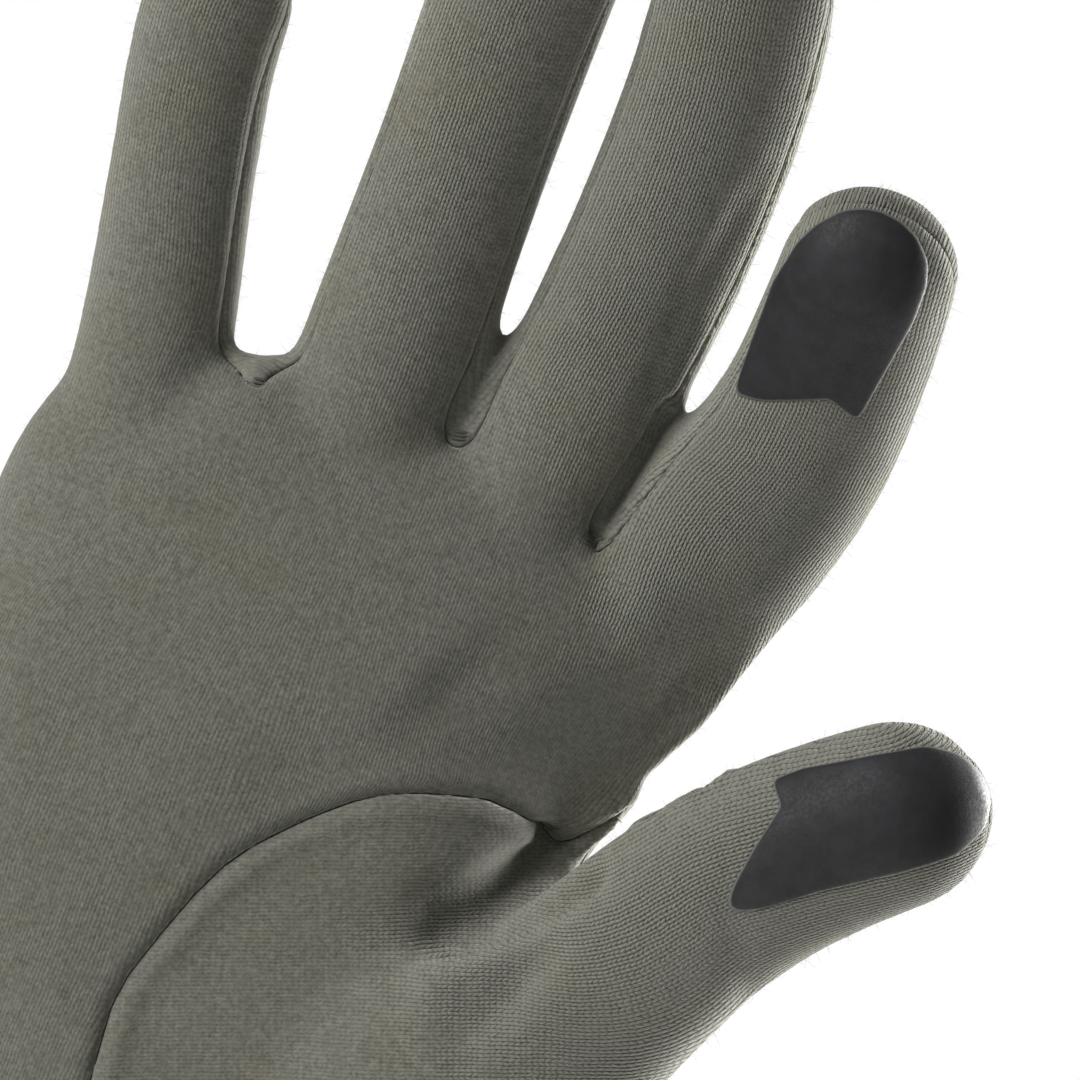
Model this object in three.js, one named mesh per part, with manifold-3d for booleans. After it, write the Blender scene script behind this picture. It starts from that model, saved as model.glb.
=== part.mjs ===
// Glove liner for a right hand: a hollow knitted glove, sewn from panels, with two smooth touch patches.
// Millimetres. The origin is the centre of the wrist opening, +Z runs to the fingertips, the palm faces -Y
// and the thumb is on the +X side.
import * as THREE from "three";
import { mergeVertices } from "three/addons/utils/BufferGeometryUtils.js";
import Module from "manifold-3d";

// Cloth and seams
const clothWall = 1.2;
const seamGap = 0.3;
const patchWall = 0.8;
const patchGap = 0.3;

// Hand part of the glove
const palmLength = 157;
const palmBreadth = 91;
const palmDepth = 30;
const webDrop = 7;
const ringWebRise = 4.4;

// How far the panels' seam runs from the thumb web up the side of the palm
const webReach = 12;

// Wrist opening
const hemHeight = 18;
const hemWall = 2.4;

// Facets
const digitSides = 12;
const palmSides = 24;

// Palm sections from the wrist opening up to the finger roots. height is a share of palmLength, littleSide
// and thumbSide are edges as shares of half the breadth, depth is a share of palmDepth.
const palmSections = [
  { height: 0.0, littleSide: -0.83, thumbSide: 0.83, depth: 1.72 },
  { height: 0.11, littleSide: -0.8, thumbSide: 0.8, depth: 1.64 },
  { height: 0.22, littleSide: -0.75, thumbSide: 0.75, depth: 1.54 },
  { height: 0.33, littleSide: -0.74, thumbSide: 0.73, depth: 1.44 },
  { height: 0.43, littleSide: -0.83, thumbSide: 0.77, depth: 1.3 },
  { height: 0.53, littleSide: -0.94, thumbSide: 0.8, depth: 1.16 },
  { height: 0.63, littleSide: -1.01, thumbSide: 0.8, depth: 1.08 },
  { height: 0.73, littleSide: -1.03, thumbSide: 0.8, depth: 1.03 },
  { height: 0.82, littleSide: -1.02, thumbSide: 0.87, depth: 0.98 },
  { height: 0.9, littleSide: -1.01, thumbSide: 0.945, depth: 0.9 },
  { height: 0.95, littleSide: -0.98, thumbSide: 0.96, depth: 0.76 },
  { height: 0.98, littleSide: -0.93, thumbSide: 0.9, depth: 0.58 },
  { height: 1.0, littleSide: -0.86, thumbSide: 0.84, depth: 0.3 },
];

// Digits. root is where the digit starts inside the palm, in shares of half the breadth, of palmDepth and of
// palmLength. Each joint line gives the share of the length,
// the bend towards the palm side and the lean towards the thumb side, both in degrees. breadth and depth are
// the full size at the base, and the taper columns are shares of them.
const digits = {
  index: {
    root: { across: 0.689, back: 0, height: 0.834 },
    length: 83,
    breadth: 25.6,
    depth: 22.5,
    across: [1, 0, 0],
    segments: [
      { share: 0.25, bend: 4, lean: 11 },
      { share: 0.27, bend: 20, lean: 15 },
      { share: 0.25, bend: 40, lean: 1 },
      { share: 0.23, bend: 50, lean: -9 },
    ],
    taper: [
      { at: 0, breadth: 0.84, depth: 0.8 },
      { at: 0.24, breadth: 0.94, depth: 1 },
      { at: 0.36, breadth: 0.99, depth: 0.96 },
      { at: 0.46, breadth: 0.96, depth: 0.92 },
      { at: 0.6, breadth: 0.89, depth: 0.86 },
      { at: 0.8, breadth: 0.83, depth: 0.78 },
      { at: 1, breadth: 0.76, depth: 0.7 },
    ],
  },
  middle: {
    root: { across: 0.282, back: 0, height: 0.86 },
    length: 100,
    breadth: 22.4,
    depth: 22,
    across: [1, 0, 0],
    segments: [
      { share: 0.22, bend: 2, lean: 4 },
      { share: 0.31, bend: 13, lean: 5 },
      { share: 0.25, bend: 29, lean: -1 },
      { share: 0.22, bend: 39, lean: -10 },
    ],
    taper: [
      { at: 0, breadth: 0.84, depth: 0.8 },
      { at: 0.24, breadth: 1, depth: 1 },
      { at: 0.36, breadth: 0.98, depth: 0.96 },
      { at: 0.46, breadth: 0.99, depth: 0.93 },
      { at: 0.6, breadth: 0.99, depth: 0.88 },
      { at: 0.8, breadth: 0.97, depth: 0.78 },
      { at: 1, breadth: 0.92, depth: 0.7 },
    ],
  },
  ring: {
    root: { across: -0.184, back: 0, height: 0.854 },
    length: 96.5,
    breadth: 21.9,
    depth: 21,
    across: [1, 0, 0],
    segments: [
      { share: 0.24, bend: 2, lean: 1 },
      { share: 0.31, bend: 12, lean: -1 },
      { share: 0.24, bend: 27, lean: -1 },
      { share: 0.21, bend: 37, lean: 2 },
    ],
    taper: [
      { at: 0, breadth: 0.84, depth: 0.8 },
      { at: 0.24, breadth: 1, depth: 1 },
      { at: 0.36, breadth: 1, depth: 0.96 },
      { at: 0.46, breadth: 0.98, depth: 0.93 },
      { at: 0.6, breadth: 0.95, depth: 0.88 },
      { at: 0.8, breadth: 0.97, depth: 0.78 },
      { at: 1, breadth: 0.97, depth: 0.7 },
    ],
  },
  little: {
    root: { across: -0.7, back: 0, height: 0.815 },
    length: 81.5,
    breadth: 19,
    depth: 19,
    across: [1, 0, 0],
    segments: [
      { share: 0.3, bend: 2, lean: -6 },
      { share: 0.29, bend: 12, lean: -11.5 },
      { share: 0.21, bend: 25, lean: -9 },
      { share: 0.2, bend: 35, lean: 1 },
    ],
    taper: [
      { at: 0, breadth: 0.84, depth: 0.8 },
      { at: 0.24, breadth: 1, depth: 1 },
      { at: 0.36, breadth: 0.98, depth: 0.96 },
      { at: 0.46, breadth: 0.95, depth: 0.93 },
      { at: 0.6, breadth: 0.92, depth: 0.88 },
      { at: 0.8, breadth: 0.93, depth: 0.78 },
      { at: 1, breadth: 0.92, depth: 0.7 },
    ],
  },
  thumb: {
    root: { across: 0.264, back: -0.1, height: 0.293 },
    length: 122,
    breadth: 42,
    depth: 30,
    across: [0.75, 0.1, -0.66],
    segments: [
      { share: 0.25, bend: 11, lean: 27 },
      { share: 0.26, bend: 12, lean: 29.5 },
      { share: 0.24, bend: 23, lean: 28 },
      { share: 0.25, bend: 22, lean: 45 },
    ],
    taper: [
      { at: 0, breadth: 0.7, depth: 0.8 },
      { at: 0.2, breadth: 0.95, depth: 1 },
      { at: 0.38, breadth: 0.9, depth: 1 },
      { at: 0.54, breadth: 0.64, depth: 0.88 },
      { at: 0.7, breadth: 0.57, depth: 0.76 },
      { at: 0.85, breadth: 0.53, depth: 0.68 },
      { at: 1, breadth: 0.49, depth: 0.6 },
    ],
  },
};

// Half width of the side strips between the fingers, at the finger root and at the tip.
const stripRootHalf = 5.5;
const stripTipHalf = 1.2;

// Seam of the thumb gusset on the palm, as shares of half the breadth and of palmLength, from the wrist side
// round the ball of the thumb to the web.
const gussetSeam = [
  { across: 0.72, height: 0.2 },
  { across: 0.3, height: 0.24 },
  { across: 0.02, height: 0.31 },
  { across: -0.13, height: 0.385 },
  { across: -0.19, height: 0.46 },
  { across: -0.2, height: 0.53 },
  { across: -0.14, height: 0.595 },
  { across: -0.03, height: 0.655 },
  { across: 0.12, height: 0.705 },
  { across: 0.3, height: 0.738 },
  { across: 0.46, height: 0.75 },
  { across: 0.6, height: 0.75 },
  { across: 0.7, height: 0.735 },
];

// Touch patches: a rounded tongue whose lower edge runs up to an offset notch, drawn in the palm plane. turn
// is the angle of the tongue from +Z towards the thumb side, fromTip and side place its lower corner from the
// digit's end, and the outline rows are shares of the breadth and the length.
const indexPatch = {
  breadth: 16.3,
  length: 24.6,
  turn: 0,
  fromTip: 25.5,
  side: -8.4,
  outline: [
    { across: 0.05, along: 0.0 },
    { across: 0.24, along: 0.01 },
    { across: 0.5, along: 0.08 },
    { across: 0.68, along: 0.135 },
    { across: 0.93, along: 0.09 },
    { across: 0.96, along: 0.3 },
    { across: 1.0, along: 0.6 },
    { across: 0.98, along: 0.77 },
    { across: 0.92, along: 0.87 },
    { across: 0.79, along: 0.95 },
    { across: 0.64, along: 0.99 },
    { across: 0.5, along: 1.0 },
    { across: 0.37, along: 0.985 },
    { across: 0.24, along: 0.94 },
    { across: 0.12, along: 0.85 },
    { across: 0.04, along: 0.74 },
    { across: 0.0, along: 0.55 },
    { across: 0.02, along: 0.3 },
  ],
};
const thumbPatch = {
  breadth: 16,
  length: 32.7,
  turn: 43,
  fromTip: 32.4,
  side: -10.3,
  outline: [
    { across: 0.0, along: 0.33 },
    { across: 0.18, along: 0.32 },
    { across: 0.36, along: 0.18 },
    { across: 0.54, along: 0.06 },
    { across: 0.66, along: 0.0 },
    { across: 0.73, along: 0.01 },
    { across: 0.79, along: 0.12 },
    { across: 0.83, along: 0.3 },
    { across: 0.95, along: 0.62 },
    { across: 1.0, along: 0.8 },
    { across: 0.93, along: 0.92 },
    { across: 0.78, along: 0.99 },
    { across: 0.58, along: 1.0 },
    { across: 0.38, along: 0.955 },
    { across: 0.22, along: 0.86 },
    { across: 0.12, along: 0.68 },
    { across: 0.01, along: 0.44 },
  ],
};

const wasm = await Module();
wasm.setup();

// A closed solid for joining and cutting, from a shape's geometry.
function solidOf(geometry) {
  const bare = geometry.clone();
  bare.deleteAttribute("normal");
  bare.deleteAttribute("uv");
  const welded = mergeVertices(bare, 1e-3);
  const solid = new wasm.Manifold(
    new wasm.Mesh({
      numProp: 3,
      vertProperties: welded.attributes.position.array,
      triVerts: new Uint32Array(welded.index.array),
    }),
  );
  return solid;
}

// A shape's geometry again, from a joined or cut solid.
function geometryOf(solid) {
  const mesh = solid.getMesh();
  const geometry = new THREE.BufferGeometry();
  geometry.setAttribute("position", new THREE.BufferAttribute(mesh.vertProperties, 3));
  geometry.setIndex(new THREE.BufferAttribute(mesh.triVerts, 1));
  geometry.computeVertexNormals();
  return geometry;
}

function joined(solids) {
  return solids.reduce((whole, solid) => whole.add(solid));
}

// A panel is one piece of cloth, so the crumbs that a seam cut leaves beside it are dropped.
function wholePanel(solid) {
  return solid.decompose().reduce((largest, body) => (body.volume() > largest.volume() ? body : largest));
}

// Value of a column between the rows of a table.
function tableValue(table, key, column, share) {
  let row = 0;
  while (row < table.length - 2 && share > table[row + 1][key]) row += 1;
  const low = table[row];
  const high = table[row + 1];
  const part = THREE.MathUtils.clamp((share - low[key]) / (high[key] - low[key]), 0, 1);
  return THREE.MathUtils.lerp(low[column], high[column], part);
}

// Drop of the finger roots away from the middle of the hand, slower towards the little finger, where the web
// beside the ring finger stands up again.
function crownDrop(x) {
  const rate = x < 3 ? 0.0006 : 0.0022;
  const drop = webDrop * (1 - Math.exp(-rate * (x - 3) * (x - 3)));
  return drop - ringWebRise * Math.exp(-(((x + 22) / 8) ** 2));
}

// One section point of the palm. ring is 1 on the outline and 0 in the middle, and inset moves the outline in.
function palmPoint(share, angle, ring, inset, stretch) {
  const half = palmBreadth / 2;
  const little = tableValue(palmSections, "height", "littleSide", share) * half + inset;
  const thumb = tableValue(palmSections, "height", "thumbSide", share) * half - inset;
  const depth = Math.max((tableValue(palmSections, "height", "depth", share) * palmDepth) / 2 - inset, 0.4);
  const square = 0.86;
  const acrossShare = Math.sign(Math.cos(angle)) * Math.abs(Math.cos(angle)) ** square;
  const depthShare = Math.sign(Math.sin(angle)) * Math.abs(Math.sin(angle)) ** square;
  const x = (little + thumb) / 2 + ((thumb - little) / 2) * acrossShare * ring;
  const y = depth * depthShare * ring;
  const rise = THREE.MathUtils.smoothstep(share, 0.8, 1);
  const z = share * palmLength - inset * rise - crownDrop(x) * rise - stretch * (1 - share);
  return new THREE.Vector3(x, y, z);
}

function palmBody(inset, stretch) {
  const rows = 13;
  const shape = new THREE.CylinderGeometry(1, 1, 1, palmSides, rows);
  const position = shape.attributes.position;
  for (let i = 0; i < position.count; i += 1) {
    const x = position.getX(i);
    const z = position.getZ(i);
    const even = position.getY(i) + 0.5;
    const share = even < 0.75 ? even * 1.12 : 0.84 + 0.16 * Math.sin(((even - 0.75) / 0.25) * (Math.PI / 2));
    const spot = palmPoint(share, Math.atan2(-z, x), Math.hypot(x, z), inset, stretch);
    position.setXYZ(i, spot.x, spot.y, spot.z);
  }
  return solidOf(shape);
}

// Centre line of a digit with its own directions at every share of the length: along the digit, across it,
// and out of its back.
function digitLine(digit) {
  const { across: rootAcross, back: rootBack, height: rootHeight } = digit.root;
  const root = [(rootAcross * palmBreadth) / 2, rootBack * palmDepth, rootHeight * palmLength];
  const points = [new THREE.Vector3(...root)];
  for (const segment of digit.segments) {
    const bend = THREE.MathUtils.degToRad(segment.bend);
    const lean = THREE.MathUtils.degToRad(segment.lean);
    const step = new THREE.Vector3(
      Math.cos(bend) * Math.sin(lean),
      -Math.sin(bend),
      Math.cos(bend) * Math.cos(lean),
    );
    points.push(points.at(-1).clone().addScaledVector(step, segment.share * digit.length));
  }
  const curve = new THREE.CatmullRomCurve3(points, false, "centripetal");
  const reference = new THREE.Vector3(...digit.across);
  return (share) => {
    const held = THREE.MathUtils.clamp(share, 0, 1);
    const along = curve.getTangentAt(held);
    const across = reference.clone().addScaledVector(along, -reference.dot(along)).normalize();
    const back = along.clone().cross(across).normalize();
    const centre = curve.getPointAt(held).addScaledVector(along, (share - held) * digit.length);
    return { centre, along, across, back };
  };
}

// Rounding of the tip: 1 along the digit, falling to 0 at its end.
function tipRound(digit, share, inset) {
  const end = 1 - inset / digit.length;
  const tipBreadth = digit.breadth * digit.taper.at(-1).breadth;
  const start = end - (0.52 * tipBreadth) / digit.length;
  if (share <= start) return 1;
  const part = Math.min((share - start) / (end - start), 1);
  return Math.sqrt(Math.max(1 - part * part, 0));
}

function digitBody(digit, inset, rows = 11) {
  const line = digitLine(digit);
  const shape = new THREE.CylinderGeometry(1, 1, 1, digitSides, rows);
  const position = shape.attributes.position;
  const end = 1 - inset / digit.length;
  const start = end - (0.52 * digit.breadth * digit.taper.at(-1).breadth) / digit.length;
  const shaftRows = rows - 4;
  for (let i = 0; i < position.count; i += 1) {
    const x = position.getX(i);
    const z = position.getZ(i);
    const row = (position.getY(i) + 0.5) * rows;
    const cap = Math.max(row - shaftRows, 0) / 4;
    const share = row <= shaftRows ? (row / shaftRows) * start : start + (end - start) * Math.sin((cap * Math.PI) / 2);
    const round = row >= rows - 1e-6 ? 0.12 : Math.max(tipRound(digit, share, inset), 0.12);
    const { centre, across, back } = line(share);
    const halfBreadth = (tableValue(digit.taper, "at", "breadth", share) * digit.breadth) / 2 - inset;
    const halfDepth = (tableValue(digit.taper, "at", "depth", share) * digit.depth) / 2 - inset;
    centre.addScaledVector(across, halfBreadth * round * x);
    centre.addScaledVector(back, -halfDepth * round * z);
    position.setXYZ(i, centre.x, centre.y, centre.z);
  }
  return solidOf(shape);
}

// A band that follows a digit: from and to are shares of its length, edges gives the four limits of the
// section at a share, and overrun is added at both ends.
function digitBand(digit, from, to, edges, overrun = 0) {
  const rows = 9;
  const line = digitLine(digit);
  const shape = new THREE.BoxGeometry(1, 1, 1, 1, rows, 1);
  const position = shape.attributes.position;
  for (let i = 0; i < position.count; i += 1) {
    const share = THREE.MathUtils.lerp(from, to, position.getY(i) + 0.5);
    const { centre, along, across, back } = line(share);
    const limit = edges(share);
    centre.addScaledVector(across, position.getX(i) < 0 ? limit.left : limit.right);
    centre.addScaledVector(back, position.getZ(i) < 0 ? limit.back : limit.front);
    if (Math.abs(position.getY(i)) > 0.499) centre.addScaledVector(along, Math.sign(position.getY(i)) * overrun);
    position.setXYZ(i, centre.x, centre.y, centre.z);
  }
  return solidOf(shape);
}

// An outline in the plane of the palm, pushed through from one y to another.
function palmPrism(points, fromY, toY) {
  const outline = new THREE.Shape(points.map(({ x, z }) => new THREE.Vector2(x, z)));
  const shape = new THREE.ExtrudeGeometry(outline, { depth: toY - fromY, bevelEnabled: false, steps: 1 });
  shape.rotateX(Math.PI / 2);
  shape.translate(0, toY, 0);
  return solidOf(shape);
}

function slab(low, high) {
  const shape = new THREE.BoxGeometry(high[0] - low[0], high[1] - low[1], high[2] - low[2]);
  shape.translate((low[0] + high[0]) / 2, (low[1] + high[1]) / 2, (low[2] + high[2]) / 2);
  return solidOf(shape);
}

const digitNames = Object.keys(digits);
const reach = 400;

// The whole glove as one hollow body, open at the wrist.
const outside = joined([palmBody(0, 0), ...digitNames.map((name) => digitBody(digits[name], 0))]);
const inside = joined([
  palmBody(clothWall, 3),
  ...digitNames.map((name) => digitBody(digits[name], clothWall)),
]);
const aboveHem = slab([-reach, -reach, hemHeight + seamGap], [reach, reach, reach]);
const cloth = outside.subtract(inside).intersect(aboveHem);

// Regions that part the cloth into panels. grow widens a region for the cut in its neighbours.
function backRegion(grow) {
  const palmBack = slab([-reach, -grow, -reach], [reach, reach, palmLength - 4]);
  const digitBacks = digitNames.map((name) => {
    const digit = digits[name];
    const isThumb = name === "thumb";
    return digitBand(digit, isThumb ? 0.02 : 0, 1.2, (share) => {
      const half = (digit.breadth * tableValue(digit.taper, "at", "breadth", share)) / 2 + 1.5 + grow;
      return {
        left: -half,
        right: isThumb ? grow + digit.breadth * (1.1 - 0.66 * THREE.MathUtils.clamp(share * 1.6, 0, 1)) : half,
        front: -grow,
        back: isThumb
          ? grow + digit.depth * (0.8 - 0.3 * THREE.MathUtils.smoothstep(share, 0.55, 0.75))
          : grow + digit.depth * 0.75,
      };
    });
  });
  return joined([palmBack, ...digitBacks]);
}

// The side strip between two neighbouring fingers: a band on each finger, meeting at the finger roots.
function stripRegion(thumbSideFinger, littleSideFinger, grow) {
  const bands = [
    { digit: digits[thumbSideFinger], side: -1 },
    { digit: digits[littleSideFinger], side: 1 },
  ].map(({ digit, side }) => {
    const strip = (share) => {
      const half = THREE.MathUtils.lerp(stripRootHalf, stripTipHalf, THREE.MathUtils.clamp((share - 0.2) / 0.8, 0, 1));
      const overlap = THREE.MathUtils.lerp(3.6, 1.4, THREE.MathUtils.clamp((share - 0.16) / 0.14, 0, 1));
      const near = 0.3 * digit.breadth - grow;
      const far = 0.5 * digit.breadth + overlap + grow;
      return {
        left: side < 0 ? -far : near,
        right: side < 0 ? -near : far,
        front: -half - grow,
        back: half + grow,
      };
    };
    return digitBand(digit, 0.16, 0.97, strip, grow);
  });
  return joined(bands);
}

// Corners of an outline moved outwards by the cut's width, for an outline that runs clockwise seen from the palm.
function widened(points, grow) {
  return points.map((point, i) => {
    const before = points[(i + points.length - 1) % points.length];
    const after = points[(i + 1) % points.length];
    const run = new THREE.Vector2(after.x - before.x, after.z - before.z).normalize();
    return { x: point.x - run.y * grow, z: point.z + run.x * grow };
  });
}

function thumbRegion(grow) {
  const half = palmBreadth / 2;
  const seam = gussetSeam.map(({ across, height }) => ({ x: across * half, z: height * palmLength }));
  const web = seam.at(-1);
  const outer = digitLine(digits.thumb)(1).centre;
  const points = [
    { x: half + webReach, z: seam[0].z - hemWall },
    ...seam,
    { x: web.x + 0.15 * webReach, z: web.z + 0.15 * webReach },
    { x: web.x + 0.5 * webReach, z: web.z + 0.67 * webReach },
    { x: web.x + 0.85 * webReach, z: web.z + webReach },
    { x: web.x + 2 * webReach, z: outer.z },
    { x: outer.x, z: outer.z + digits.thumb.breadth / 2 },
    { x: outer.x + digits.thumb.breadth / 2, z: outer.z + digits.thumb.breadth / 2 },
    { x: outer.x + digits.thumb.breadth / 2, z: outer.z - digits.thumb.breadth },
  ];
  const palmEdge = slab(
    [web.x + clothWall + grow, -0.3 * palmDepth + grow, web.z - webReach + grow],
    [web.x + 1.2 * webReach, reach, web.z + 2 * webReach],
  );
  return palmPrism(widened(points, grow), -reach, reach).subtract(palmEdge);
}

const fingerStrips = [
  { name: "fourchette_index_middle", fingers: ["index", "middle"] },
  { name: "fourchette_middle_ring", fingers: ["middle", "ring"] },
  { name: "fourchette_ring_little", fingers: ["ring", "little"] },
];
const allStrips = joined(fingerStrips.map(({ fingers }) => stripRegion(...fingers, seamGap)));
const panels = cloth.subtract(allStrips);
const fronts = panels.subtract(backRegion(seamGap));

// The wrist hem: the cloth turned in on itself, so it is thicker than one wall.
const hemOutset = (hemWall - clothWall) / 2;
const hemHeightSlab = slab([-reach, -reach, 0], [reach, reach, hemHeight]);
const cuffHem = palmBody(-hemOutset, 3).subtract(palmBody(hemWall - hemOutset, 6)).intersect(hemHeightSlab);

// A touch patch lies on the palm side of a digit, patchGap outside the cloth.
function touchPatch(digit, patch) {
  const turn = THREE.MathUtils.degToRad(patch.turn);
  const along = new THREE.Vector2(Math.sin(turn), Math.cos(turn));
  const across = new THREE.Vector2(Math.cos(turn), -Math.sin(turn));
  const tip = digitLine(digit)(1).centre;
  const corner = new THREE.Vector2(tip.x, tip.z).addScaledVector(along, -patch.fromTip).addScaledVector(across, patch.side);
  const points = patch.outline.map((row) => {
    const spot = corner
      .clone()
      .addScaledVector(across, row.across * patch.breadth)
      .addScaledVector(along, row.along * patch.length);
    return { x: spot.x, z: spot.y };
  });
  const backHalf = digitBand(digit, -0.1, 1.3, () => ({ left: -30, right: 30, front: -0.5, back: 30 }));
  const shell = digitBody(digit, -patchGap - patchWall).subtract(digitBody(digit, -patchGap));
  return shell.intersect(palmPrism(points.reverse(), -reach, reach)).subtract(backHalf);
}

const group = new THREE.Group();
group.name = "glove_liner";
function addPiece(name, solid, look) {
  const mesh = new THREE.Mesh(geometryOf(wholePanel(solid)), new THREE.MeshStandardMaterial(look));
  mesh.name = name;
  group.add(mesh);
}
const knitLook = { color: 0x64655c, roughness: 0.95, metalness: 0 };
const patchLook = { color: 0x2b2b2e, roughness: 0.6, metalness: 0 };
addPiece("palm_panel", fronts.subtract(thumbRegion(seamGap)), knitLook);
addPiece("back_panel", panels.intersect(backRegion(0)), knitLook);
addPiece("thumb_piece", fronts.intersect(thumbRegion(0)), knitLook);
for (const { name, fingers } of fingerStrips) {
  addPiece(name, cloth.intersect(stripRegion(...fingers, 0)), knitLook);
}
addPiece("index_touch_patch", touchPatch(digits.index, indexPatch), patchLook);
addPiece("thumb_touch_patch", touchPatch(digits.thumb, thumbPatch), patchLook);
addPiece("cuff_hem", cuffHem, knitLook);
export default group;
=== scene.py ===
import math
import bpy
import numpy as np
from mathutils import Matrix, Vector
from mathutils.bvhtree import BVHTree
from mathutils.kdtree import KDTree


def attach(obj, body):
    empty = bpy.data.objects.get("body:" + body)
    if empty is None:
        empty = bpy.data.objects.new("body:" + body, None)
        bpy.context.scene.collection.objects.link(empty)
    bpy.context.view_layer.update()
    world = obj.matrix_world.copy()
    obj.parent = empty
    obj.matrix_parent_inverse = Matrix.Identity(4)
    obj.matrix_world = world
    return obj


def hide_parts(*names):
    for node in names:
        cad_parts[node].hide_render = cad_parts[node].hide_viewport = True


# Knitted glove liner of a right hand. Lengths in the code are in millimetres in the row's frame, and are
# turned into metres only where they are written into a mesh.
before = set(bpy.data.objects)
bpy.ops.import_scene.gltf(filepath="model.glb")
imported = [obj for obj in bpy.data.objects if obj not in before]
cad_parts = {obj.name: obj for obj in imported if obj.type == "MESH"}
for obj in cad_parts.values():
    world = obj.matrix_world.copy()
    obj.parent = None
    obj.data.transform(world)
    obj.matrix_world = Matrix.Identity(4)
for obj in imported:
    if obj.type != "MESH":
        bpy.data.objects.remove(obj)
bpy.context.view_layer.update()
mm = 0.001


def smoothStep(value, low, high):
    t = np.clip((value - low) / (high - low), 0.0, 1.0)
    return t * t * (3.0 - 2.0 * t)


def lerp(a, b, t):
    return a + (b - a) * t


def unit(v):
    return v / np.maximum(np.linalg.norm(v, axis=-1, keepdims=True), 1e-9)


def activate(obj):
    bpy.ops.object.select_all(action="DESELECT")
    obj.select_set(True)
    bpy.context.view_layer.objects.active = obj


def applyModifier(obj, name):
    activate(obj)
    bpy.ops.object.modifier_apply(modifier=name)


def readPoints(obj):
    data = np.empty(len(obj.data.vertices) * 3)
    obj.data.vertices.foreach_get("co", data)
    return data.reshape(-1, 3) / mm


def writePoints(obj, points):
    obj.data.vertices.foreach_set("co", (points * mm).ravel())
    obj.data.update()


def smoothShade(obj):
    activate(obj)
    bpy.ops.object.shade_smooth()


# Camera: the photograph's viewing angle, straight at the palm with the hand leaning to the right.
view = {"distance": 550.0, "aimX": 17.0, "aimZ": 150.0, "pixels": 1080, "pixelsPerMm": 8.3, "lean": 22.0,
        "sensor": 36.0}
frameWidth = view["pixels"] / view["pixelsPerMm"]
lean = math.radians(view["lean"])
right = Vector((math.cos(lean), 0, math.sin(lean)))
up = Vector((-math.sin(lean), 0, math.cos(lean)))
bpy.ops.object.camera_add()
camera = bpy.context.object
camera.name = "photoCamera"
camera.data.sensor_width = view["sensor"]
camera.data.lens = view["sensor"] * view["distance"] / frameWidth
camera.data.clip_end = 50
place = Matrix((right, up, right.cross(up))).transposed().to_4x4()
place.translation = Vector((view["aimX"], -view["distance"], view["aimZ"])) * mm
camera.matrix_world = place
bpy.context.scene.camera = camera
print("camera placed")


# Form of the glove, with the same sections as the solid part. Widths and thicknesses are shares of breadth and
# depth at the heights given.
palm = {
    "length": 157.0,
    "breadth": 91.0,
    "depth": 30.0,
    "webDrop": 7.0,
    "ringWebRise": 4.4,
    "height": [0.0, 0.11, 0.22, 0.33, 0.43, 0.53, 0.63, 0.73, 0.82, 0.9, 0.95, 0.98, 1.0],
    "little": [-0.83, -0.8, -0.75, -0.74, -0.83, -0.94, -1.01, -1.03, -1.02, -1.01, -0.98, -0.93, -0.86],
    "thumb": [0.83, 0.8, 0.75, 0.73, 0.77, 0.8, 0.8, 0.8, 0.87, 0.945, 0.96, 0.9, 0.84],
    "thick": [1.72, 1.64, 1.54, 1.44, 1.3, 1.16, 1.08, 1.03, 0.98, 0.9, 0.76, 0.58, 0.3],
}
fingerTaper = {
    "index": {"at": [0, 0.24, 0.36, 0.46, 0.6, 0.8, 1], "breadth": [0.84, 0.94, 0.99, 0.96, 0.89, 0.83, 0.76],
              "depth": [0.8, 1, 0.96, 0.92, 0.86, 0.78, 0.7]},
    "middle": {"at": [0, 0.24, 0.36, 0.46, 0.6, 0.8, 1], "breadth": [0.84, 1, 0.98, 0.99, 0.99, 0.97, 0.92],
               "depth": [0.8, 1, 0.96, 0.93, 0.88, 0.78, 0.7]},
    "ring": {"at": [0, 0.24, 0.36, 0.46, 0.6, 0.8, 1], "breadth": [0.84, 1, 1, 0.98, 0.95, 0.97, 0.97],
             "depth": [0.8, 1, 0.96, 0.93, 0.88, 0.78, 0.7]},
    "little": {"at": [0, 0.24, 0.36, 0.46, 0.6, 0.8, 1], "breadth": [0.84, 1, 0.98, 0.95, 0.92, 0.93, 0.92],
               "depth": [0.8, 1, 0.96, 0.93, 0.88, 0.78, 0.7]},
    "thumb": {"at": [0, 0.2, 0.38, 0.54, 0.7, 0.85, 1], "breadth": [0.7, 0.95, 0.9, 0.64, 0.57, 0.53, 0.49],
              "depth": [0.8, 1, 1, 0.88, 0.76, 0.68, 0.6]},
}
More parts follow.
